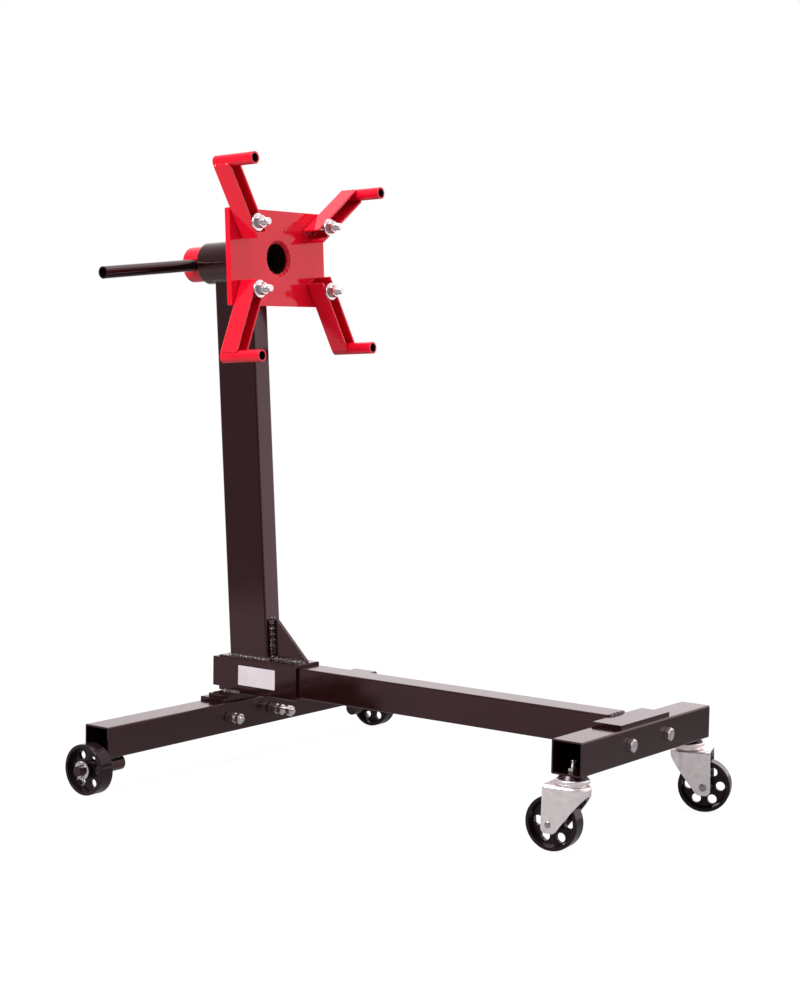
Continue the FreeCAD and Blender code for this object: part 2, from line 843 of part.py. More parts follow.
def arm_channel(arm):
    """U channel, open to the front, slotted for its bolt and coped round its sleeve."""
    body = new_body("ArmChannel")
    sketch = new_sketch(body, "XY_Plane")
    half = "Dims.arm_width / 2"
    inner = "(Dims.arm_width / 2 - Dims.arm_wall)"
    polygon(sketch, [("0", half), ("0", f"-{half}"), ("Dims.arm_depth", f"-{half}"),
                     ("Dims.arm_depth", f"-{inner}"), ("Dims.arm_wall", f"-{inner}"),
                     ("Dims.arm_wall", inner), ("Dims.arm_depth", inner), ("Dims.arm_depth", half)])
    pad(body, sketch, "Dims.arm_tail", reverse=True)
    slot = new_sketch(body, "YZ_Plane")
    radius = f"({SCREWS['m12'][0]} + Dims.running_play)"
    polygon(slot, [(f"-{radius}", "-Dims.slot_near"), (f"-{radius}", "-Dims.slot_far"),
                   (radius, "-Dims.slot_far"), (radius, "-Dims.slot_near")])
    pocket(body, slot)
    for end in ("-Dims.slot_near", "-Dims.slot_far"):
        round_end = new_sketch(body, "YZ_Plane")
        circle(round_end, "0", end, radius)
        pocket(body, round_end)
    cope = new_sketch(body, "YZ_Plane")
    circle(cope, "0", "0", "Dims.sleeve_radius + Dims.fit_gap")
    pocket(body, cope)
    tip = new_sketch(body, "YZ_Plane")
    polygon(tip, [("-Dims.arm_width", "-Dims.arm_gap"), ("Dims.arm_width", "-Dims.arm_gap"),
                  ("Dims.arm_width", "Dims.arm_width"), ("-Dims.arm_width", "Dims.arm_width")])
    pocket(body, tip)
    along_z = Vector(0, 0, 1)
    round_edges(body, "Dims.arm_corner",
                lambda edge: is_along(edge, along_z) and abs(edge.CenterOfMass.x) < 0.1
                and abs(abs(edge.CenterOfMass.y) - dim("arm_width") / 2) < 0.1)
    keep(body, f"arm_channel_{arm}", arm_frame(arm))


def arm_sleeve(arm):
    sleeve = tube("Dims.sleeve_radius", "Dims.sleeve_bore", "Dims.sleeve_length",
                  arm_frame(arm) * at(0, 0, 0, ALONG_X))
    keep(sleeve, f"arm_sleeve_{arm}")


def arm_clamp(arm):
    """Screw from behind the plate, with a wide washer and a nut on the channel's edges."""
    side, level, _, _ = ARMS[arm]
    bolt = head_frame() * at(0, side * dim("arm_bolt_y"), level * dim("arm_bolt_z"))
    thick = dim("plate_thick")
    front = dim("arm_clearance") + dim("arm_depth")
    washer_thick = 2.5
    length = thick + front + 25
    keep(screw("m12", length, bolt * at(-thick, 0, 0, ALONG_X)), f"arm_bolt_{arm}")
    keep(tube("14.5", f"{SCREWS['m12'][0]} + Dims.running_play", str(washer_thick),
              bolt * at(front, 0, 0, ALONG_X)), f"arm_washer_{arm}")
    keep(nut("m12", bolt * at(front + washer_thick, 0, 0, ALONG_X)), f"arm_nut_{arm}")


# ---------------------------------------------------------------- wheels and casters


def wheel(label, hub_length, bore, placement):
    """A dished wheel about Y: hub, thin web with six round holes, and a wide rim."""
    body = new_body("Wheel")
    sketch = new_sketch(body, "XY_Plane")
    hub, rim, web = f"{hub_length} / 2", "Dims.wheel_width / 2", "Dims.wheel_web / 2"
    half = [(bore, hub), ("Dims.hub_radius", hub), ("Dims.hub_radius + 1", web),
            ("Dims.rim_inner - 1", web), ("Dims.rim_inner + 1.5", rim), ("Dims.wheel_radius", rim)]
    mirrored = [(radius, f"-({offset})") for radius, offset in reversed(half)]
    polygon(sketch, half + mirrored)
    revolve(body, sketch, "Y_Axis")
    radius = dim("wheel_radius")
    round_edges(body, "Dims.tread_round",
                lambda edge: isinstance(edge.Curve, Part.Circle)
                and abs(edge.Curve.Radius - radius) < 0.1)
    first_hole = new_sketch(body, "XZ_Plane")
    circle(first_hole, "Dims.wheel_hole_circle", "0", "Dims.wheel_hole")
    drilled = pocket(body, first_hole)
    pattern = body.newObject("PartDesign::PolarPattern", "Holes")
    pattern.Originals = [drilled]
    pattern.Axis = (origin_feature(body, "Y_Axis"), [""])
    pattern.Angle = 360
    pattern.Occurrences = 6
    body.Tip = pattern
    doc.recompute()
    keep(body, label, placement)


def rear_wheels():
    for side, sign in SIDES.items():
        middle = sign * (wheel_inner_y() + dim("rear_hub") / 2)
        wheel(f"rear_wheel_{side}", "Dims.rear_hub", "Dims.axle_radius + Dims.running_play",
              at(axle_x(), middle, dim("wheel_radius")))


def fork_outline(sketch, inset):
    """The fork from above: straight sides, an open back and a half-round nose."""
    half = f"(Dims.fork_gap / 2 + Dims.fork_wall - {inset})"
    back = f"(-Dims.fork_heel - 4 * {inset})"
    side, nose, rear = number(half), dim("fork_nose"), number(back)
    sketch.addGeometry(Part.LineSegment(Vector(rear, side, 0), Vector(rear, -side, 0)))
    sketch.addGeometry(Part.LineSegment(Vector(rear, -side, 0), Vector(nose, -side, 0)))
    round_nose = Part.Circle(Vector(nose, 0, 0), Vector(0, 0, 1), side)
    sketch.addGeometry(Part.ArcOfCircle(round_nose, -math.pi / 2, math.pi / 2))
    sketch.addGeometry(Part.LineSegment(Vector(nose, side, 0), Vector(rear, side, 0)))
    sketch.addConstraint(Sketcher.Constraint("Coincident", 0, 2, 1, 1))
    sketch.addConstraint(Sketcher.Constraint("Tangent", 1, 2, 2, 1))
    sketch.addConstraint(Sketcher.Constraint("Tangent", 2, 2, 3, 1))
    sketch.addConstraint(Sketcher.Constraint("Coincident", 3, 2, 0, 1))
    sketch.addConstraint(Sketcher.Constraint("Vertical", 0))
    sketch.addConstraint(Sketcher.Constraint("Horizontal", 1))
    sketch.addConstraint(Sketcher.Constraint("Horizontal", 3))
    sketch.addConstraint(Sketcher.Constraint("PointOnObject", 2, 3, -1))
    constrain(sketch, half, "Radius", 2)
    constrain(sketch, "Dims.fork_nose", "DistanceX", -1, 1, 2, 3)
    constrain(sketch, back, "DistanceX", -1, 1, 0, 1)


def caster_fork(side):
    """Pressed fork: ball race on top, a rolled edge, and two legs that taper to the axle."""
    body = new_body("CasterFork")
    top = "-Dims.race_bottom"
    axle_z = "(Dims.front_height - Dims.tube_side / 2 - Dims.wheel_radius)"
    low = f"(-{axle_z} - Dims.fork_drop)"
    blank = new_sketch(body, "XY_Plane", -dim("race_bottom"))
    fork_outline(blank, "0")
    pad(body, blank, f"{top} - {low}", reverse=True)
    trim = new_sketch(body, "XZ_Plane")
    polygon(trim, [("-99", "1"), ("-99", f"{low} - 9"), ("99", f"{low} - 9"), ("99", "1")])
    polygon(trim, [("-Dims.fork_back", "0"), ("-Dims.fork_heel", low), ("-Dims.fork_toe", low),
                   ("Dims.fork_nose + Dims.fork_gap / 2 + Dims.fork_wall + 1",
                    f"{top} - Dims.fork_skirt"),
                   ("Dims.fork_nose + Dims.fork_gap / 2 + Dims.fork_wall + 1", "0")])
    pocket(body, trim)
    foot = number(low)
    round_edges(body, "Dims.fork_foot",
                lambda edge: is_along(edge, Vector(0, 1, 0))
                and abs(edge.CenterOfMass.z - foot) < 0.1)
    crown = -dim("race_bottom")
    round_edges(body, "Dims.fork_bend",
                lambda edge: abs(edge.CenterOfMass.z - crown) < 0.01
                and not is_along(edge, Vector(0, 1, 0)))
    cavity = new_sketch(body, "XY_Plane", -dim("race_bottom") - dim("fork_top"))
    fork_outline(cavity, "Dims.fork_wall")
    pocket(body, cavity, f"{top} - {low}")
    neck = new_sketch(body, "XY_Plane", -dim("race_bottom") - 1)
    circle(neck, "0", "0", "Dims.race_neck")
    race_top = "Dims.cup_height + Dims.race_gap"
    pad(body, neck, f"Dims.race_bottom + 1 - {race_top} - Dims.race_height / 2")
    race = new_sketch(body, "XY_Plane", -number(f"{race_top} + Dims.race_height"))
    circle(race, "0", "0", "Dims.race_radius")
    pad(body, race, "Dims.race_height")
    rim = dim("race_radius")
    round_edges(body, "2.5",
                lambda edge: isinstance(edge.Curve, Part.Circle)
                and abs(edge.Curve.Radius - rim) < 0.1
                and abs(edge.CenterOfMass.x) < 0.1)
    bore = new_sketch(body, "XY_Plane")
    circle(bore, "0", "0", "Dims.stem_radius + Dims.running_play")
    pocket(body, bore)
    axle = new_sketch(body, "XZ_Plane")
    circle(axle, "-Dims.caster_trail", f"-{axle_z}", "Dims.rivet_radius + Dims.running_play")
    pocket(body, axle)
    track = ring("Dims.ball_circle", "Dims.ball_radius + Dims.ball_play", at(0, 0, ball_height()))
    keep(cut(body, track), f"caster_fork_{side}", caster_frame(side))


def ball_height():
    """Height of the balls' centres below the crossbar, between the cup and the fork's race."""
    return -dim("cup_height") - dim("race_gap") / 2


def caster_axle_frame(side):
    """Origin at a caster wheel's centre."""
    drop = dim("front_height") - dim("tube_side") / 2 - dim("wheel_radius")
    return caster_frame(side) * at(-dim("caster_trail"), 0, -drop)


def caster_axle():
    """A rivet along Y, centred: a low head on its +Y end and a peened end on the other."""
    outer = dim("fork_gap") / 2 + dim("fork_wall")
    back = Rotation(Vector(1, 0, 0), 90)
    return fuse(
        rod("Dims.rivet_radius", "Dims.fork_gap + 2 * Dims.fork_wall", at(0, -outer, 0, ALONG_Y)),
        cone("Dims.rivet_head", "Dims.rivet_head - 1.5", "2.2", at(0, outer, 0, ALONG_Y)),
        cone("Dims.rivet_end", "Dims.rivet_end - 1.5", "1.6", at(0, -outer, 0, back)),
    )


def caster_wheel_set(side):
    """Wheel on its bush, held between the fork's legs by a rivet."""
    centre = caster_axle_frame(side)
    wheel(f"caster_wheel_{side}", "Dims.caster_hub", "Dims.bush_radius + Dims.running_play",
          centre)
    keep(tube("Dims.bush_radius", "Dims.rivet_radius + Dims.running_play", "Dims.fork_gap",
              centre * at(0, -dim("fork_gap") / 2, 0, ALONG_Y)), f"caster_bush_{side}")
    keep(caster_axle(), f"caster_axle_{side}", centre)


def caster_mountings():
    """Fixed pieces of both casters: headed stem, nut inside the tube, ball cup and balls."""
    stems, nuts, cups, balls = [], [], [], []
    head_top = -dim("race_bottom") - dim("fork_top") - 0.5
    head_height = 5
    ball_count = 12
    for side in SIDES:
        frame = caster_frame(side)
        stem = fuse(
            rod("Dims.stem_radius", f"Dims.stem_top + {head_height - head_top}",
                at(0, 0, head_top - head_height)),
            rod("Dims.stem_head", str(head_height), at(0, 0, head_top - head_height)),
        )
        stem.Placement = frame
        stems.append(stem)
        nuts.append(nut("m8", frame * at(0, 0, dim("tube_wall"))))
        low = at(0, 0, -dim("cup_height"))
        disc = cut(cone("Dims.cup_radius", "Dims.cup_top", "Dims.cup_height", low),
                   rod("Dims.stem_radius + Dims.running_play", "Dims.cup_height", low))
        cup = cut(disc, ring("Dims.ball_circle", "Dims.ball_radius + Dims.ball_play",
                             at(0, 0, ball_height())))
        cup.Placement = frame
        cups.append(cup)
        for index in range(ball_count):
            angle = math.radians(360 * index / ball_count)
            ball = doc.addObject("Part::Sphere", "Ball")
            bind(ball, Radius="Dims.ball_radius")
            spot = Vector(math.cos(angle), math.sin(angle), 0) * dim("ball_circle")
            ball.Placement = frame * at(spot.x, spot.y, ball_height())
            balls.append(ball)
    group("caster_stems", stems)
    group("caster_nuts", nuts)
    group("caster_cups", cups)
    group("caster_balls", balls)


# ---------------------------------------------------------------- whole stand


def build():
    fill_sheet()
    rear_crossbar()
    front_crossbar()
    main_beam()
    receiver_sleeve()
    foot_plate()
    angle_iron("rear_angle", "m10", "Dims.rear_joint_rise", dim("rear_x"), dim("rear_height"))
    angle_iron("front_angle", "m12", "Dims.front_joint_rise", front_x(), dim("front_height"))
    joint_screws()
    rear_axles()
    axle_welds()
    axle_washers()
    cotter_pins()
    column()
    gusset()
    frame_welds()
    rating_label()
    bearing_tube()
    spindle_tube()
    mounting_plate()
    head_weld()
    handle_bar()
    for arm in ARMS:
        arm_channel(arm)
        arm_sleeve(arm)
        arm_clamp(arm)
    rear_wheels()
    caster_mountings()
    for side in SIDES:
        caster_fork(side)
        caster_wheel_set(side)
    doc.recompute()


def check():
    """Stops before anything is written if an object failed or a sub-part is not a valid solid."""
    for obj in doc.Objects:
        if any(word in state for state in obj.State for word in ("Invalid", "Error")):
            raise RuntimeError(f"{obj.Label} failed: {obj.State}")
    for obj in kept:
        if obj.Shape.isNull() or not obj.Shape.isValid() or not obj.Shape.Solids:
            raise RuntimeError(f"{obj.Label} has no valid solid")


def export():
    os.makedirs("parts", exist_ok=True)
    for obj in kept:
        obj.Shape.exportStep(f"parts/{obj.Label}.step")


build()
check()
export()
whole = Part.makeCompound([obj.Shape for obj in kept]).BoundBox
print(f"{len(kept)} nodes, X {whole.XMin:.2f} to {whole.XMax:.2f}, Y {whole.YMin:.2f} to"
      f" {whole.YMax:.2f}, Z {whole.ZMin:.2f} to {whole.ZMax:.2f}")
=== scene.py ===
import json
import math
from collections import namedtuple

import bmesh
import bpy
from mathutils import Matrix, Vector


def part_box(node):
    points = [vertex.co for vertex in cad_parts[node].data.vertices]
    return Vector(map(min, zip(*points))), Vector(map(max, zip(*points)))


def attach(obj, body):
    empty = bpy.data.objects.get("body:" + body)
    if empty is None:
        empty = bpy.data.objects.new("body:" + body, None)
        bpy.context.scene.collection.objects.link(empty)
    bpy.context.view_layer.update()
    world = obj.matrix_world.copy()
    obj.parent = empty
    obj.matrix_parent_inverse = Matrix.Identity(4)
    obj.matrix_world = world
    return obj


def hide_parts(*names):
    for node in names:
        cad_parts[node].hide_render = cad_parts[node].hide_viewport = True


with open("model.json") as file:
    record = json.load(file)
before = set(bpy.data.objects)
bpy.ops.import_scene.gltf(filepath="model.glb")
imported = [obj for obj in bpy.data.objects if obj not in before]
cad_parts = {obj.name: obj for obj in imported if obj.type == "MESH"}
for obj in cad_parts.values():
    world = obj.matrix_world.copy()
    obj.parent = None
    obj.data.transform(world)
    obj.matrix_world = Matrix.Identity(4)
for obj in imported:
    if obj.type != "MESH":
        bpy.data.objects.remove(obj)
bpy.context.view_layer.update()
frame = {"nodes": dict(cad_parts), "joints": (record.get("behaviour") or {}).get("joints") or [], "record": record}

MM = 0.001

# ------------------------------------------------------------------ places in the CAD model


def joint(name):
    return next(j for j in frame["joints"] if j["name"] == name)


ARMS = ("upper_left", "upper_right", "lower_left", "lower_right")
SIDES = ("left", "right")
HEAD_AXIS = Vector(joint("head_spin")["axis"])
HEAD_AT = Vector(joint("head_spin")["pos_m"])
UP = Vector((0, 0, 1))


def node_points(node):
    """A CAD node's mesh points, in metres in the CAD frame."""
    return [vertex.co for vertex in frame["nodes"][node].data.vertices]


def solids(node):
    """The points of each separate solid of a node, in the order of their middles along Y."""
    points = node_points(node)
    keys = [tuple(round(c * 1e5) for c in point) for point in points]
    owner = {key: key for key in keys}

    def root(key):
        while owner[key] != key:
            owner[key] = owner[owner[key]]
            key = owner[key]
        return key

    for face in frame["nodes"][node].data.polygons:
        first = root(keys[face.vertices[0]])
        for index in face.vertices[1:]:
            owner[root(keys[index])] = first
    groups = {}
    for key, point in zip(keys, points):
        groups.setdefault(root(key), []).append(point)
    return sorted(groups.values(), key=lambda group: round(sum(p.y for p in group) / len(group), 4))


def across(axis):
    """Two directions square to an axis, the first level where it can be."""
    side = UP if abs(axis.z) < 0.9 else Vector((1, 0, 0))
    first = side.cross(axis).normalized()
    return first, axis.cross(first)


def span(points, axis):
    """Where the centre line of some points starts along an axis, and its length in mm."""
    axis = Vector(axis).normalized()
    start = Vector()
    for direction in across(axis):
        reach = [point.dot(direction) for point in points]
        start += direction * (min(reach) + max(reach)) / 2
    reach = [point.dot(axis) for point in points]
    return start + axis * min(reach), (max(reach) - min(reach)) / MM


def corner(node, pick_z, pick_x):
    """A corner of a node's outline in the X-Z plane, at its lowest or highest level."""
    points = node_points(node)
    level = pick_z(point.z for point in points)
    return Vector((pick_x(p.x for p in points if abs(p.z - level) < 1e-5), 0, level))


def axis_frame(point, along_z):
    """Placement in metres for a shape in millimetres whose Z is along_z."""
    z = Vector(along_z).normalized()
    turn = Matrix((*across(z), z)).transposed()
    return Matrix.Translation(point) @ turn.to_4x4() @ Matrix.Scale(MM, 4)


# ------------------------------------------------------------------ node materials


class Shader:
    """A node material with one Principled BSDF, and short calls to add and join nodes."""

    def __init__(self, name):
        self.material = bpy.data.materials.new(name)
        self.material.use_nodes = True
        self.tree = self.material.node_tree
        self.surface = self.tree.nodes["Principled BSDF"]
        self.coords = self.add("ShaderNodeTexCoord").outputs["Object"]

    def add(self, kind, **settings):
        node = self.tree.nodes.new(kind)
        for key, value in settings.items():
            setattr(node, key, value)
        return node

    def join(self, output, target):
        self.tree.links.new(output, target)

    def noise(self, scale, detail=4):
        """Noise from 0 to 1, scale in features per metre."""
        node = self.add("ShaderNodeTexNoise")
        node.inputs["Scale"].default_value = scale
        node.inputs["Detail"].default_value = detail
        node.inputs["Roughness"].default_value = 0.55
        self.join(self.coords, node.inputs["Vector"])
        return node.outputs["Fac"]

    def ramp(self, fac, *stops):
        """Maps a value through (position, colour or grey) stops."""
        node = self.add("ShaderNodeValToRGB")
        elements = node.color_ramp.elements
        while len(elements) < len(stops):
            elements.new(0.5)
        for element, (position, tone) in zip(elements, stops):
            element.position = position
            element.color = (tone, tone, tone, 1) if isinstance(tone, float) else (*tone, 1)
        self.join(fac, node.inputs["Fac"])
        return node.outputs["Color"]

    def blend(self, fac, first, second):
        node = self.add("ShaderNodeMix", data_type="RGBA")
        self.join(fac, node.inputs["Factor"])
        for key, value in (("A", first), ("B", second)):
            self.join(value, next(s for s in node.inputs if s.name == key and s.type == "RGBA"))
        return next(s for s in node.outputs if s.type == "RGBA")

    def fade(self, value, low, high, start, end):
        """Maps a value from low..high to start..end, each a number or a node's output."""
        node = self.add("ShaderNodeMapRange")
        for key, given in (("Value", value), ("From Min", low), ("From Max", high),
                           ("To Min", start), ("To Max", end)):
            if isinstance(given, bpy.types.NodeSocket):
                self.join(given, node.inputs[key])
            else:
                node.inputs[key].default_value = given
        return node.outputs["Result"]

    def inside(self, point, axis, radius):
        """1 nearer to a line than radius, 0 beyond it."""
        value = self.coords
        for operation, other in (("SUBTRACT", point), ("CROSS_PRODUCT", axis)):
            node = self.add("ShaderNodeVectorMath", operation=operation)
            self.join(value, node.inputs[0])
            node.inputs[1].default_value = other
            value = node.outputs["Vector"]
        length = self.add("ShaderNodeVectorMath", operation="LENGTH")
        self.join(value, length.inputs[0])
        near = self.add("ShaderNodeMath", operation="LESS_THAN")
        self.join(length.outputs["Value"], near.inputs[0])
        near.inputs[1].default_value = radius
        return near.outputs["Value"]

    def bump(self, height, strength, distance, under=None):
        node = self.add("ShaderNodeBump")
        node.inputs["Strength"].default_value = strength
        node.inputs["Distance"].default_value = distance
        self.join(height, node.inputs["Height"])
        if under is not None:
            self.join(under, node.inputs["Normal"])
        return node.outputs["Normal"]

    def soft_edges(self, radius):
        node = self.add("ShaderNodeBevel", samples=6)
        node.inputs["Radius"].default_value = radius
        return node.outputs["Normal"]

    def set(self, **inputs):
        for key, value in inputs.items():
            socket = self.surface.inputs[key.replace("_", " ")]
            if isinstance(value, bpy.types.NodeSocket):
                self.join(value, socket)
            else:
                socket.default_value = value


def paint(name, dark, light, gloss, peel, tint, index, edge=0.0, bore=None):
    """Glossy powder coat: patchy tone, uneven gloss and a fine orange-peel surface.

    index is the coat's index of refraction. bore is a point, an axis and a radius, within
    which the colour is painted near black as the shade that falls inside the tube.
    """
    shader = Shader(name)
    tone = shader.ramp(shader.noise(9, 5), (0.35, dark), (0.7, light))
    # Painted shade: within the bore the tone turns near black, for the shade deep in the tube.
    if bore:
        painted_bore_shade = shader.ramp(shader.noise(150, 5), (0.3, (0.010, 0.004, 0.004)),
                            (0.7, (0.024, 0.012, 0.011)))
        tone = shader.blend(shader.inside(*bore), tone, painted_bore_shade)
    under = shader.soft_edges(edge) if edge else None
    ripple = shader.bump(shader.noise(130, 2), 0.5 * peel, 0.0008, under)
    shader.set(Base_Color=tone,
               Roughness=shader.ramp(shader.noise(38, 6), (0.3, gloss), (0.75, gloss + 0.06)),
               IOR=index,
               Specular_Tint=(*tint, 1),
               Normal=shader.bump(shader.noise(900, 2), peel, 0.0004, ripple))
    return shader.material


def zinc(name, tint, rough):
    """Bright zinc plate: faint cloudy spangle and fine rubbing marks."""
    shader = Shader(name)
    dull = tuple(0.84 * c for c in tint)
    shader.set(Base_Color=shader.ramp(shader.noise(120, 5), (0.3, dull), (0.7, tint)),
               Metallic=1.0,
               Roughness=shader.ramp(shader.noise(260, 6), (0.3, rough), (0.8, rough + 0.16)),
               Normal=shader.bump(shader.noise(700, 3), 0.12, 0.0003))
    return shader.material


def wheel_plastic():
    """Moulded black plastic with a dusty film and a fine grain."""
    shader = Shader("wheel_plastic")
    shader.set(Base_Color=shader.ramp(shader.noise(55, 6), (0.35, (0.007, 0.004, 0.005)),
                                      (0.8, (0.015, 0.009, 0.011))),
               Roughness=shader.ramp(shader.noise(140, 6), (0.3, 0.09), (0.8, 0.24)),
               IOR=1.35,
               Specular_Tint=(1, 0.72, 0.76, 1),
               Normal=shader.bump(shader.noise(650, 3), 0.14, 0.0003,
                                  shader.soft_edges(0.0006)))
    return shader.material


def label_film():
    """Printed film with a soft uneven tone and no lettering."""
    shader = Shader("label_film")
    tone = shader.ramp(shader.noise(60, 3), (0.3, (0.60, 0.54, 0.57)), (0.7, (0.67, 0.61, 0.64)))
    shader.set(Base_Color=tone,
               Roughness=shader.ramp(shader.noise(200), (0.3, 0.3), (0.7, 0.42)),
               Normal=shader.bump(shader.noise(40, 2), 0.2, 0.0006))
    return shader.material


BLACK_TINT = (1, 0.6, 0.66)
BLACK_PAINT = ((0.009, 0.002, 0.002), (0.013, 0.003, 0.003), 0.10, 0.05, BLACK_TINT)
RED_PAINT = ((0.68, 0.003, 0.018), (0.76, 0.006, 0.028), 0.05, 0.035, (1, 0.86, 0.9), 1.45, 0.0006)
MATERIALS = {
    "frame_paint": paint("frame_paint", *BLACK_PAINT, 1.6, 0.0007),
    "head_paint": paint("head_paint", *RED_PAINT),
    "zinc": zinc("zinc", (0.74, 0.69, 0.70), 0.16),
    "handle_paint": paint("handle_paint", (0.006, 0.002, 0.003), (0.011, 0.004, 0.005), 0.14,
                          0.06, BLACK_TINT, 1.5),
    "wheel_plastic": wheel_plastic(),
    "label_film": label_film(),
}
# Finishes of single pieces, in place of their slot's material, and painted shade on the caster cups.
WELD_PAINT = paint("weld_paint", *BLACK_PAINT[:2], 0.05, 0.2, (1, 0.9, 0.92), 1.9)
RIVET_STEEL = zinc("rivet_steel", (0.40, 0.36, 0.37), 0.18)
FORK_ZINC = zinc("fork_zinc", (0.98, 0.90, 0.91), 0.26)
# Painted shade: the zinc ball cups get a near-black tone for the shade they sit in under the crossbar.
SHADED_CUP_ZINC = zinc("cup_zinc_painted_shade", (0.06, 0.045, 0.05), 0.2)


def give(node, material):
    """Puts one material on a CAD node."""
    mesh = frame["nodes"][node].data
    mesh.materials.clear()
    mesh.materials.append(material)


def finish_nodes():
    """Gives each CAD node the material of its slot."""
    for part in frame["record"]["subparts"]:
        give(part["node"], MATERIALS[part["material_slot"]])


def shade_bores():
    """The spindle tube and the arm sleeves: red paint outside, painted shade inside the bores."""
    for node in ["spindle_tube"] + [f"arm_sleeve_{arm}" for arm in ARMS]:
        points = node_points(node)
        start, _ = span(points, HEAD_AXIS)
        inner = min((point - start).cross(HEAD_AXIS).length for point in points)
        give(node, paint(f"bore_shaded_{node}", *RED_PAINT, (start, HEAD_AXIS, inner + 0.3 * MM)))


def finish_and_shade_casters():
    """Stamped forks are rougher than screws; the zinc ball cups are painted near black as shade."""
    give("caster_cups", SHADED_CUP_ZINC)
    for side in SIDES:
        give(f"caster_fork_{side}", FORK_ZINC)


# ------------------------------------------------------------------ mesh pieces

# Points round a turned shape.
AROUND = 48


class Skin:
    """Points and faces of one piece, collected shape by shape."""

    def __init__(self):
        self.points, self.faces = [], []

    def loft(self, loops, place, closed=False):
        """Joins loops of equal length; caps both ends, or joins the last loop to the first."""
        first, count = len(self.points), len(loops[0])
        for loop in loops:
            self.points += [place @ Vector(point) for point in loop]
        last = len(loops) - 1
        for low in range(len(loops) if closed else last):
            high = (low + 1) % len(loops)
            for i in range(count):
                j = (i + 1) % count
                self.faces.append([first + low * count + i, first + low * count + j,
                                   first + high * count + j, first + high * count + i])
        if not closed:
            self.faces.append([first + i for i in reversed(range(count))])
            self.faces.append([first + last * count + i for i in range(count)])

    def piece(self, name, body, slot_name, *nodes, sharp=38):
        """Makes the piece, gives it its slot's material, and lets it stand for CAD nodes."""
        mesh = bpy.data.meshes.new(name)
        mesh.from_pydata(self.points, [], self.faces)
        work = bmesh.new()
        work.from_mesh(mesh)
        bmesh.ops.recalc_face_normals(work, faces=work.faces)
        work.to_mesh(mesh)
        work.free()
        mesh.shade_smooth()
        mesh.set_sharp_from_angle(angle=math.radians(sharp))
        mesh.materials.append(MATERIALS[slot_name])
        made = bpy.data.objects.new(name, mesh)
        bpy.context.scene.collection.objects.link(made)
        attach(made, body)
        if nodes:
            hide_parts(*nodes)
        return made


def turned(radius_of, height_of):
    """A loop about Z: its radius follows the angle, and its height follows the radius."""
    loop = []
    for step in range(AROUND):
        angle = 2 * math.pi * step / AROUND
        radius = radius_of(angle)
        loop.append((radius * math.cos(angle), radius * math.sin(angle), height_of(radius)))
    return loop


def round_loop(radius, height):
    return turned(lambda angle: radius, lambda reach: height)


def lathe(profile):
    """Loops from (radius, height) pairs."""
    return [round_loop(radius, height) for radius, height in profile]


def hex_loop(half_flats, height, inward):
    """A hexagon's rim; inward 1 or -1 lets a 30 degree cone take its corners off."""
    cone_radius, slope = 0.98 * half_flats, math.tan(math.radians(30))

    def radius_of(angle):
        return half_flats / math.cos((angle + math.pi / 6) % (math.pi / 3) - math.pi / 6)

    def height_of(radius):
        return height + inward * max(0.0, radius - cone_radius) * slope
    return turned(radius_of, height_of)


# ------------------------------------------------------------------ fasteners

# In millimetres: thread radius, half of the width across flats, head height and pitch.
Size = namedtuple("Size", "radius half_flats head pitch")
M8, M10, M12 = Size(4, 6.5, 5.3, 1.25), Size(5, 8, 6.4, 1.5), Size(6, 9, 7.5, 1.75)


def thread_loops(radius, pitch, low, high):
    """Helical thread between two heights, with a bevelled end.

    It starts a hair above low, clear of the shank's last loop.
    """
    low += 0.01
    depth, steps_a_turn, loops = 0.52 * pitch, 6, []
    count = int((high - low) / pitch * steps_a_turn)
    for step in range(count + 1):
        height = low + (high - low) * step / count
        fade = min(1.0, (high - height) / (0.8 * pitch), (height - low) / pitch)
        end = 0.9 * (1 - fade) if high - height < pitch else 0.0

        def radius_of(angle, height=height, fade=fade, end=end):
            phase = (height / pitch - angle / (2 * math.pi)) % 1
            return radius - depth * (abs(2 * phase - 1) * fade + end)
        loops.append(turned(radius_of, lambda reach, height=height: height))
    return loops


def add_bolt(skin, size, points, axis, threaded):
    """A hexagon-head bolt along axis, head first: a dished face, the hexagon and its seat."""
    radius, half_flats, head, pitch = size
    start, length = span(points, axis)
    dish, low, seat = 0.6 * half_flats, 0.97 * half_flats, 0.94 * half_flats
    shoulder, under = length - threaded, head - 0.4
    loops = lathe([(dish - 0.2, 0.25), (dish, 0), (low, 0)])
    loops += [hex_loop(half_flats, 0, 1), hex_loop(half_flats, under, 0)]
    loops += lathe([(seat, under), (seat, head), (radius, head), (radius, shoulder)])
    loops += thread_loops(radius, pitch, shoulder, length)
    skin.loft(loops, axis_frame(start, axis))


def add_nut(skin, size, points, axis):
    """A hexagon nut with a countersunk bore."""
    start, height = span(points, axis)
    bore, low = size.radius + 0.1, 0.97 * size.half_flats
    sunk = bore + 0.8
    loops = lathe([(bore, 1), (sunk, 0), (low, 0)])
    loops += [hex_loop(size.half_flats, 0, 1), hex_loop(size.half_flats, height, -1)]
    loops += lathe([(low, height), (sunk, height), (bore, height - 1)])
    skin.loft(loops, axis_frame(start, axis), closed=True)


def add_washer(skin, outer, bore, points, axis):
    """A pressed washer: rolled over on its outer face, sharper behind."""
    start, thick = span(points, axis)
    roll = 0.35 * thick
    skin.loft(lathe([(bore, 0.2), (bore + 0.2, 0), (outer - 0.15, 0), (outer, 0.15),
                     (outer, thick - roll), (outer - 0.3 * roll, thick - 0.3 * roll),
                     (outer - roll, thick), (bore + roll, thick), (bore, thick - roll)]),
              axis_frame(start, axis), closed=True)


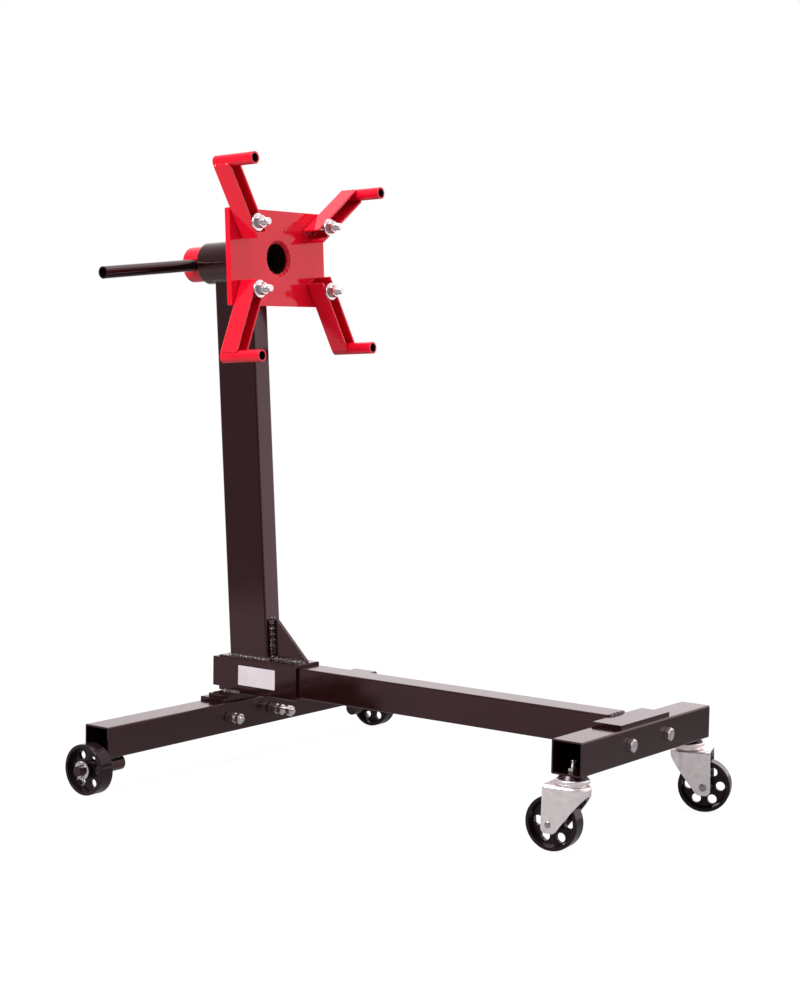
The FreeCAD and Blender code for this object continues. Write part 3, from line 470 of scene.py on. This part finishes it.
def frame_screws():
    """The bolts and nuts through the two crossbars: heads behind, and heads in front."""
    forwards = Vector((1, 0, 0))
    for name, size, axis, threaded in (("rear", M10, forwards, 30), ("front", M12, -forwards, 24)):
        bolts, nuts = Skin(), Skin()
        for points in solids(f"{name}_joint_bolts"):
            add_bolt(bolts, size, points, axis, threaded)
        for points in solids(f"{name}_joint_nuts"):
            add_nut(nuts, size, points, axis)
        bolts.piece(f"{name}_joint_bolt_set", "base", "zinc", f"{name}_joint_bolts")
        nuts.piece(f"{name}_joint_nut_set", "base", "zinc", f"{name}_joint_nuts")


def arm_screws(arm):
    """The bolt, washer and nut that clamp one arm."""
    body, threaded, washer_radius, washer_bore = f"clamp_{arm}", 50, 14.5, 6.1
    bolt, washer, nut = Skin(), Skin(), Skin()
    add_bolt(bolt, M12, node_points(f"arm_bolt_{arm}"), HEAD_AXIS, threaded)
    add_washer(washer, washer_radius, washer_bore, node_points(f"arm_washer_{arm}"), HEAD_AXIS)
    add_nut(nut, M12, node_points(f"arm_nut_{arm}"), HEAD_AXIS)
    bolt.piece(f"arm_bolt_piece_{arm}", body, "zinc", f"arm_bolt_{arm}")
    washer.piece(f"arm_washer_piece_{arm}", body, "zinc", f"arm_washer_{arm}")
    nut.piece(f"arm_nut_piece_{arm}", body, "zinc", f"arm_nut_{arm}")


def axle_washers():
    """The washers outside the rear wheels."""
    radius, bore, skin = 15, 8.2, Skin()
    for side, points in zip((-1, 1), solids("axle_washers")):
        add_washer(skin, radius, bore, points, (0, side, 0))
    skin.piece("axle_washer_set", "base", "zinc", "axle_washers")


def add_wire(skin, points, radius, place):
    """A round wire along points in the X-Z plane."""
    sides, level, loops = 12, Vector((0, 1, 0)), []
    for index, point in enumerate(points):
        before, after = points[max(0, index - 1)], points[min(len(points) - 1, index + 1)]
        along = (Vector(after) - Vector(before)).normalized()
        out = along.cross(level)
        angles = [2 * math.pi * i / sides for i in range(sides)]
        loops.append([Vector(point) + radius * (math.cos(t) * out + math.sin(t) * level)
                      for t in angles])
    skin.loft(loops, place)


def mirror_frame(point, side):
    """Placement in metres of a shape in millimetres, mirrored along X for one side."""
    return Matrix.Translation(point) @ Matrix.Diagonal((side * MM, MM, MM, 1))


def cotter_pins():
    """Split pins: one wire up a shank, round the eye and down again, its ends bent apart.

    Its places are in millimetres from the axle's centre line.
    """
    wire, shank_top, shank_end = 0.78, 8.6, -9.5
    eye, eye_height, eye_steps = 2.5, 11.8, 16
    eye_start, eye_sweep = -115, -310
    course = [(-5.6, 0, -15.2), (-4.2, 0, -13.6), (-2.4, 0, -11.4), (-1.2, 0, -10.2),
              (-wire, 0, shank_end), (-wire, 0, 0), (-wire, 0, shank_top)]
    for step in range(eye_steps + 1):
        angle = math.radians(eye_start + eye_sweep * step / eye_steps)
        course.append((eye * math.cos(angle), 0, eye_height + eye * math.sin(angle)))
    course += [(wire, 0, shank_top), (wire, 0, 0), (wire, 0, shank_end),
               (1.3, 0, -10.4), (2.9, 0, -11.8), (4.9, 0, -13.4), (7.0, 0, -14.6)]
    axle_height = Vector(joint("rear_wheel_spin_left")["pos_m"]).z
    skin = Skin()
    for side, points in zip((-1, 1), solids("cotter_pins")):
        start, _ = span(points, UP)
        add_wire(skin, course, wire, mirror_frame((start.x, start.y, axle_height), side))
    skin.piece("cotter_pin_set", "base", "zinc", "cotter_pins")


def caster_screws():
    """Stems with threads above the crossbar's lower wall, and their nuts."""
    stems, nuts, threaded = Skin(), Skin(), 20
    for points in solids("caster_stems"):
        start, length = span(points, UP)
        loops = lathe([(6.4, 0), (8.3, 0.5), (9, 1.6), (9, 4.4), (8.5, 5), (M8.radius, 5),
                       (M8.radius, length - threaded)])
        loops += thread_loops(M8.radius, M8.pitch, length - threaded, length)
        stems.loft(loops, axis_frame(start, UP))
    for points in solids("caster_nuts"):
        add_nut(nuts, M8, points, UP)
    stems.piece("caster_stem_set", "base", "zinc", "caster_stems")
    nuts.piece("caster_nut_set", "base", "zinc", "caster_nuts")


def caster_rivet(side):
    """The axle rivet: a peened end, the shank, and a low domed head."""
    skin = Skin()
    axis = Vector(joint(f"caster_wheel_spin_{side}")["axis"])
    start, length = span(node_points(f"caster_axle_{side}"), axis)
    shank, near, far = 4, 1.6, length - 2.2
    skin.loft(lathe([(1.2, 0), (2.8, 0.2), (4, 0.6), (4.7, 1.2), (4.8, near), (shank, near),
                     (shank, far), (6, far), (6, far + 0.7), (5.4, far + 1.5), (4, far + 2),
                     (1.6, length)]), axis_frame(start, axis))
    rivet = skin.piece(f"caster_rivet_{side}", f"caster_{side}", "zinc", f"caster_axle_{side}")
    rivet.data.materials[0] = RIVET_STEEL


# ------------------------------------------------------------------ welds


def add_bead(skin, course, length, leg, closed=False, seed=0.0):
    """A rippled fillet weld. course(t) gives its corner and the directions of the two faces.

    length and leg are in millimetres. The leg swells and drifts along the bead, and ripples
    follow each other like the scales that a torch leaves. seed moves the pattern along.
    """
    spacing, parts, scale, root = 0.5, 8, 3.4, 0.3 * MM
    steps = max(8, int(length / spacing))
    loops = []
    for step in range(steps if closed else steps + 1):
        t = step / steps
        along = t * length
        corner_at, first, second = course(t)
        ends = 1.0 if closed else min(1.0, math.sqrt((min(along, length - along) + 0.15) / leg))
        swell = 1 + 0.18 * math.sin(along * 0.62 + seed) + 0.12 * math.sin(along * 1.37 + 2 * seed)
        loop = [corner_at - root * (first + second)]
        for part in range(parts + 1):
            angle = math.pi / 2 * part / parts
            bow = math.sin(2 * angle)
            phase = along / scale + 0.32 * bow + 0.25 * math.sin(along * 0.9 + seed)
            ripple = 0.12 * math.sin(2 * math.pi * phase) * bow
            drift = 0.09 * math.sin(along * 0.8 + 3 * angle + seed)
            radius = leg * ends * swell * (1 + ripple + drift) * (0.94 - 0.13 * bow)
            loop.append(corner_at + radius * MM * (math.cos(angle) * first
                                                   + math.sin(angle) * second))
        loops.append(loop)
    skin.loft(loops, Matrix(), closed)


def straight_bead(skin, start, end, first, second, leg, seed):
    """A bead along a straight corner; first and second point along its two faces."""
    start, end, first, second = (Vector(v) for v in (start, end, first, second))
    add_bead(skin, lambda t: (start.lerp(end, t), first, second), (end - start).length / MM, leg,
             seed=seed)


def around_rectangle(half_x, half_y, bend):
    """A course round a rectangle with round corners: t gives a point and its outward direction."""
    flat_x, flat_y, arc = 2 * (half_x - bend), 2 * (half_y - bend), bend * math.pi / 2
    runs = [flat_y, arc, flat_x, arc, flat_y, arc, flat_x, arc]
    total = sum(runs)

    def course(t):
        left = (t % 1) * total
        x, y, heading = half_x, -flat_y / 2, math.pi / 2
        for index, run in enumerate(runs):
            part = min(left, run)
            if index % 2:
                sweep = part / bend
                x += bend * (math.sin(heading + sweep) - math.sin(heading))
                y -= bend * (math.cos(heading + sweep) - math.cos(heading))
                heading += sweep
            else:
                x += part * math.cos(heading)
                y += part * math.sin(heading)
            left -= part
            if left <= 0:
                break
        out = heading - math.pi / 2
        return x, y, math.cos(out), math.sin(out)
    return course, total


def gusset_welds(skin):
    """Up the gusset's two sides, along its foot, and over its top."""
    foot, top = corner("gusset", min, min), corner("gusset", max, min)
    toe = corner("gusset", min, max)
    low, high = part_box("gusset")
    rise, past = (top - foot).normalized(), 3 * MM
    outwards = Vector((0, 1, 0)).cross(rise)
    for index, (side, y) in enumerate(((-1, low.y), (1, high.y))):
        level, beside = Vector((0, side, 0)), Vector((0, y, 0))
        straight_bead(skin, foot + beside, top + beside + past * rise, level, outwards, 5.6,
                      1.3 + index)
        straight_bead(skin, foot + beside, toe + beside, level, UP, 4.8, 2.6 + index)
    straight_bead(skin, top + Vector((0, low.y - past, 0)), top + Vector((0, high.y + past, 0)),
                  rise, outwards, 6, 0.4)


def column_welds(skin):
    """Round the column's foot, and along its cope under the bearing tube."""
    bend, same = 3 * MM, 0.01 * MM
    points = node_points("column")
    low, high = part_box("column")
    foot = [point for point in points if abs(point.z - low.z) < same]
    back, front = min(p.x for p in foot), max(p.x for p in foot)
    half_y = (high.y - low.y) / 2
    course, total = around_rectangle((front - back) / 2, half_y, bend)
    middle = Vector(((front + back) / 2, 0, low.z))

    def foot_course(t):
        x, y, out_x, out_y = course(t)
        return middle + Vector((x, y, 0)), Vector((out_x, out_y, 0)), UP
    add_bead(skin, foot_course, total / MM, 3.4, closed=True, seed=0.9)

    normal = HEAD_AXIS.cross(Vector((0, 1, 0)))
    radius = max((p - HEAD_AT).dot(normal) for p in node_points("bearing_tube"))
    top = [p - HEAD_AT for p in points if (p - HEAD_AT).dot(normal) > -0.9 * radius]
    near, far = min(p.dot(HEAD_AXIS) for p in top), max(p.dot(HEAD_AXIS) for p in top)
    cope, total = around_rectangle((far - near) / 2, half_y, bend)

    def cope_course(t):
        along, y, out_x, out_y = cope(t)
        lean = math.asin(max(-1, min(1, y / radius)))
        radial = Vector((0, math.sin(lean), 0)) - math.cos(lean) * normal
        tangent = Vector((0, math.cos(lean), 0)) + math.sin(lean) * normal
        place = HEAD_AT + ((near + far) / 2 + along) * HEAD_AXIS + radius * radial
        return place, (out_x * HEAD_AXIS + out_y * tangent).normalized(), -normal
    add_bead(skin, cope_course, total / MM, 3.2, closed=True, seed=2.2)


def beam_end_welds(skin):
    """At the beam's front end: two runs up each side, one below, and one on the angle's top."""
    low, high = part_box("main_beam")
    below, over_start, over_end = 6 * MM, 5 * MM, 3 * MM
    # Where a run starts and ends, as shares of the beam's height, and its leg.
    runs = ((0.06, 0.5, 4.4), (0.46, 0.95, 4.9))
    for index, (side, y) in enumerate(((-1, low.y), (1, high.y))):
        for part, (start, end, leg) in enumerate(runs):
            bottom, top = low.z + start * (high.z - low.z), low.z + end * (high.z - low.z)
            straight_bead(skin, (high.x, y, bottom), (high.x, y, top), (-1, 0, 0), (0, side, 0),
                          leg, 0.7 + index + 2 * part)
    straight_bead(skin, (high.x, low.y + below, low.z), (high.x, high.y - below, low.z),
                  (-1, 0, 0), -UP, 2.4, 1.9)
    angle_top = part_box("front_angle")[1].z
    straight_bead(skin, (high.x, low.y + over_start, angle_top),
                  (high.x, high.y - over_end, angle_top), (1, 0, 0), UP, 3.6, 0.2)


def foot_plate_welds(skin):
    """Between the receiver, the foot plate and the rear angle, with a gap in the middle."""
    half_gap, inset, end_gap = 24 * MM, 5 * MM, 2 * MM
    plate_low, plate_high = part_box("foot_plate")
    sleeve_low, sleeve_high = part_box("receiver_sleeve")
    below = ((plate_low.y + inset, -half_gap), (half_gap, plate_high.y - inset))
    for index, (side, y) in enumerate(((-1, sleeve_low.y), (1, sleeve_high.y))):
        straight_bead(skin, (plate_low.x + end_gap, y, plate_high.z),
                      (plate_high.x - end_gap, y, plate_high.z), (0, side, 0), UP, 4, 3.1 + index)
        start, end = below[index]
        straight_bead(skin, (plate_low.x, start, plate_low.z), (plate_low.x, end, plate_low.z),
                      (-1, 0, 0), UP, 3.4, 4.1 + index)


def axle_welds():
    """Down both sides of each rear axle, in the corners under the crossbar."""
    half_gap, leg, skin = 5.5 * MM, 6.2, Skin()
    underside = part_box("rear_crossbar")[0].z
    for points in solids("axle_welds"):
        start, length = span(points, (0, 1, 0))
        for side in (-1, 1):
            x = start.x + side * half_gap
            straight_bead(skin, (x, start.y + MM, underside),
                          (x, start.y + (length - 1) * MM, underside),
                          (side, 0, 0), -UP, leg, 0.8 + side)
    beads = skin.piece("axle_weld_beads", "base", "frame_paint", "axle_welds", sharp=60)
    beads.data.materials[0] = WELD_PAINT


def frame_welds():
    """All other beads of the frame, as one piece."""
    skin = Skin()
    gusset_welds(skin)
    column_welds(skin)
    beam_end_welds(skin)
    foot_plate_welds(skin)
    beads = skin.piece("frame_weld_beads", "base", "frame_paint", "frame_welds", sharp=60)
    beads.data.materials[0] = WELD_PAINT


def head_weld():
    """The bead in the plate's hole, on the end of the spindle tube."""
    start, _ = span(node_points("head_weld"), HEAD_AXIS)
    hole_radius, leg = 30, 4.2
    level, up = across(HEAD_AXIS)

    def course(t):
        radial = math.cos(2 * math.pi * t) * level + math.sin(2 * math.pi * t) * up
        return start + hole_radius * MM * radial, -radial, HEAD_AXIS
    skin = Skin()
    add_bead(skin, course, 2 * math.pi * hole_radius, leg, closed=True, seed=1.5)
    skin.piece("head_weld_bead", "head", "head_paint", "head_weld", sharp=60)


def arm_weld(arm):
    """Beads where the channel's side walls end on the sleeve."""
    outwards = Vector(joint(f"arm_reach_{arm}")["axis"])
    side_way = outwards.cross(HEAD_AXIS).normalized()
    start, _ = span(node_points(f"arm_sleeve_{arm}"), HEAD_AXIS)
    _, depth = span(node_points(f"arm_channel_{arm}"), HEAD_AXIS)
    aside, inwards, leg, skin = 9.7 * MM, 3.1 * MM, 3.2, Skin()
    near, far = 1.5 * MM, (depth - 1) * MM
    for side in (-1, 1):
        corner_at = start + side * aside * side_way - inwards * outwards
        straight_bead(skin, corner_at + near * HEAD_AXIS, corner_at + far * HEAD_AXIS,
                      side * side_way, outwards, leg, 1.1 * side)
    skin.piece(f"arm_weld_{arm}", f"arm_{arm}", "head_paint", sharp=60)


# ------------------------------------------------------------------ camera, floor and light

CAMERA_AT = Vector((1.8671, -2.544, 0.738))
CAMERA_AZIMUTH, CAMERA_ELEVATION, CAMERA_ROLL = (math.radians(a) for a in (36.697, 5.036, 1.001))
CAMERA_LENS = 72.47


def camera():
    """Looks from the front left, from just below the head."""
    data = bpy.data.cameras.new("camera")
    data.lens = CAMERA_LENS
    data.sensor_width = 36
    data.clip_end = 100
    view = bpy.data.objects.new("camera", data)
    bpy.context.scene.collection.objects.link(view)
    turn = Matrix.Rotation(CAMERA_AZIMUTH, 4, "Z")
    lift = Matrix.Rotation(math.pi / 2 - CAMERA_ELEVATION, 4, "X")
    roll = Matrix.Rotation(CAMERA_ROLL, 4, "Z")
    view.matrix_world = Matrix.Translation(CAMERA_AT) @ turn @ lift @ roll
    bpy.context.scene.camera = view


def floor():
    """A small plain floor that glows, so that it meets the backdrop without an edge.

    In reflections it glows less, and fades from the front to the back.
    """
    half, seen_glow, near_glow, far_glow = 1.6, 0.95, 0.7, 0.05
    mesh = bpy.data.meshes.new("floor")
    mesh.from_pydata([(-half, -half, 0), (half, -half, 0), (half, half, 0), (-half, half, 0)],
                     [], [(0, 1, 2, 3)])
    ground = bpy.data.objects.new("floor", mesh)
    ground.location.z = -0.0005
    bpy.context.scene.collection.objects.link(ground)
    shader = Shader("floor")
    split = shader.add("ShaderNodeSeparateXYZ")
    shader.join(shader.coords, split.inputs["Vector"])
    reflected = shader.fade(split.outputs["Y"], -half, half, near_glow, far_glow)
    seen = shader.add("ShaderNodeLightPath").outputs["Is Camera Ray"]
    glow = shader.fade(seen, 0, 1, reflected, seen_glow)
    shader.set(Base_Color=shader.ramp(shader.noise(1.5, 3), (0.3, 0.075), (0.7, 0.085)),
               Roughness=0.9, IOR=1.0, Emission_Color=(1, 1, 1, 1),
               Emission_Strength=glow)
    mesh.materials.append(shader.material)


def softbox(name, place, target, size, power):
    """A rectangular area lamp that faces a target; lengths in metres, power in watts."""
    data = bpy.data.lights.new(name, "AREA")
    data.shape = "RECTANGLE"
    data.size, data.size_y = size
    data.energy = power
    lamp = bpy.data.objects.new(name, data)
    lamp.location = place
    lamp.rotation_euler = (Vector(target) - Vector(place)).to_track_quat("-Z", "Y").to_euler()
    bpy.context.scene.collection.objects.link(lamp)


def backdrop():
    """White behind the object; as a light it is bright from the back and dim from the front."""
    front, back = 0.15, 1.6
    world = bpy.data.worlds.new("studio")
    world.use_nodes = True
    tree = world.node_tree
    shown = tree.nodes["Background"]
    shown.inputs["Color"].default_value = (1, 1, 1, 1)
    lit = tree.nodes.new("ShaderNodeBackground")
    lit.inputs["Color"].default_value = (1, 0.93, 0.95, 1)
    coords = tree.nodes.new("ShaderNodeTexCoord")
    split = tree.nodes.new("ShaderNodeSeparateXYZ")
    level = tree.nodes.new("ShaderNodeMapRange")
    for key, value in (("From Min", -1), ("From Max", 1), ("To Min", front), ("To Max", back)):
        level.inputs[key].default_value = value
    path = tree.nodes.new("ShaderNodeLightPath")
    mix = tree.nodes.new("ShaderNodeMixShader")
    for output, target in ((coords.outputs["Generated"], split.inputs["Vector"]),
                           (split.outputs["Y"], level.inputs["Value"]),
                           (level.outputs["Result"], lit.inputs["Strength"]),
                           (path.outputs["Is Camera Ray"], mix.inputs["Fac"]),
                           (lit.outputs[0], mix.inputs[1]), (shown.outputs[0], mix.inputs[2]),
                           (mix.outputs[0], tree.nodes["World Output"].inputs["Surface"])):
        tree.links.new(output, target)
    bpy.context.scene.world = world


def studio():
    """The backdrop, a large soft lamp in front and a dim one overhead."""
    backdrop()
    softbox("key", (-0.6, -3.0, 2.6), (-0.2, 0, 0.5), (1.6, 1.2), 150)
    softbox("overhead", (0.2, 0.4, 3.2), (0, 0, 0.2), (2.4, 2.4), 34)
    bpy.context.scene.view_settings.view_transform = "Standard"


camera()
floor()
studio()
finish_nodes()
shade_bores()
finish_and_shade_casters()
frame_screws()
axle_washers()
cotter_pins()
caster_screws()
for each_side in SIDES:
    caster_rivet(each_side)
for each_arm in ARMS:
    arm_screws(each_arm)
    arm_weld(each_arm)
axle_welds()
frame_welds()
head_weld()
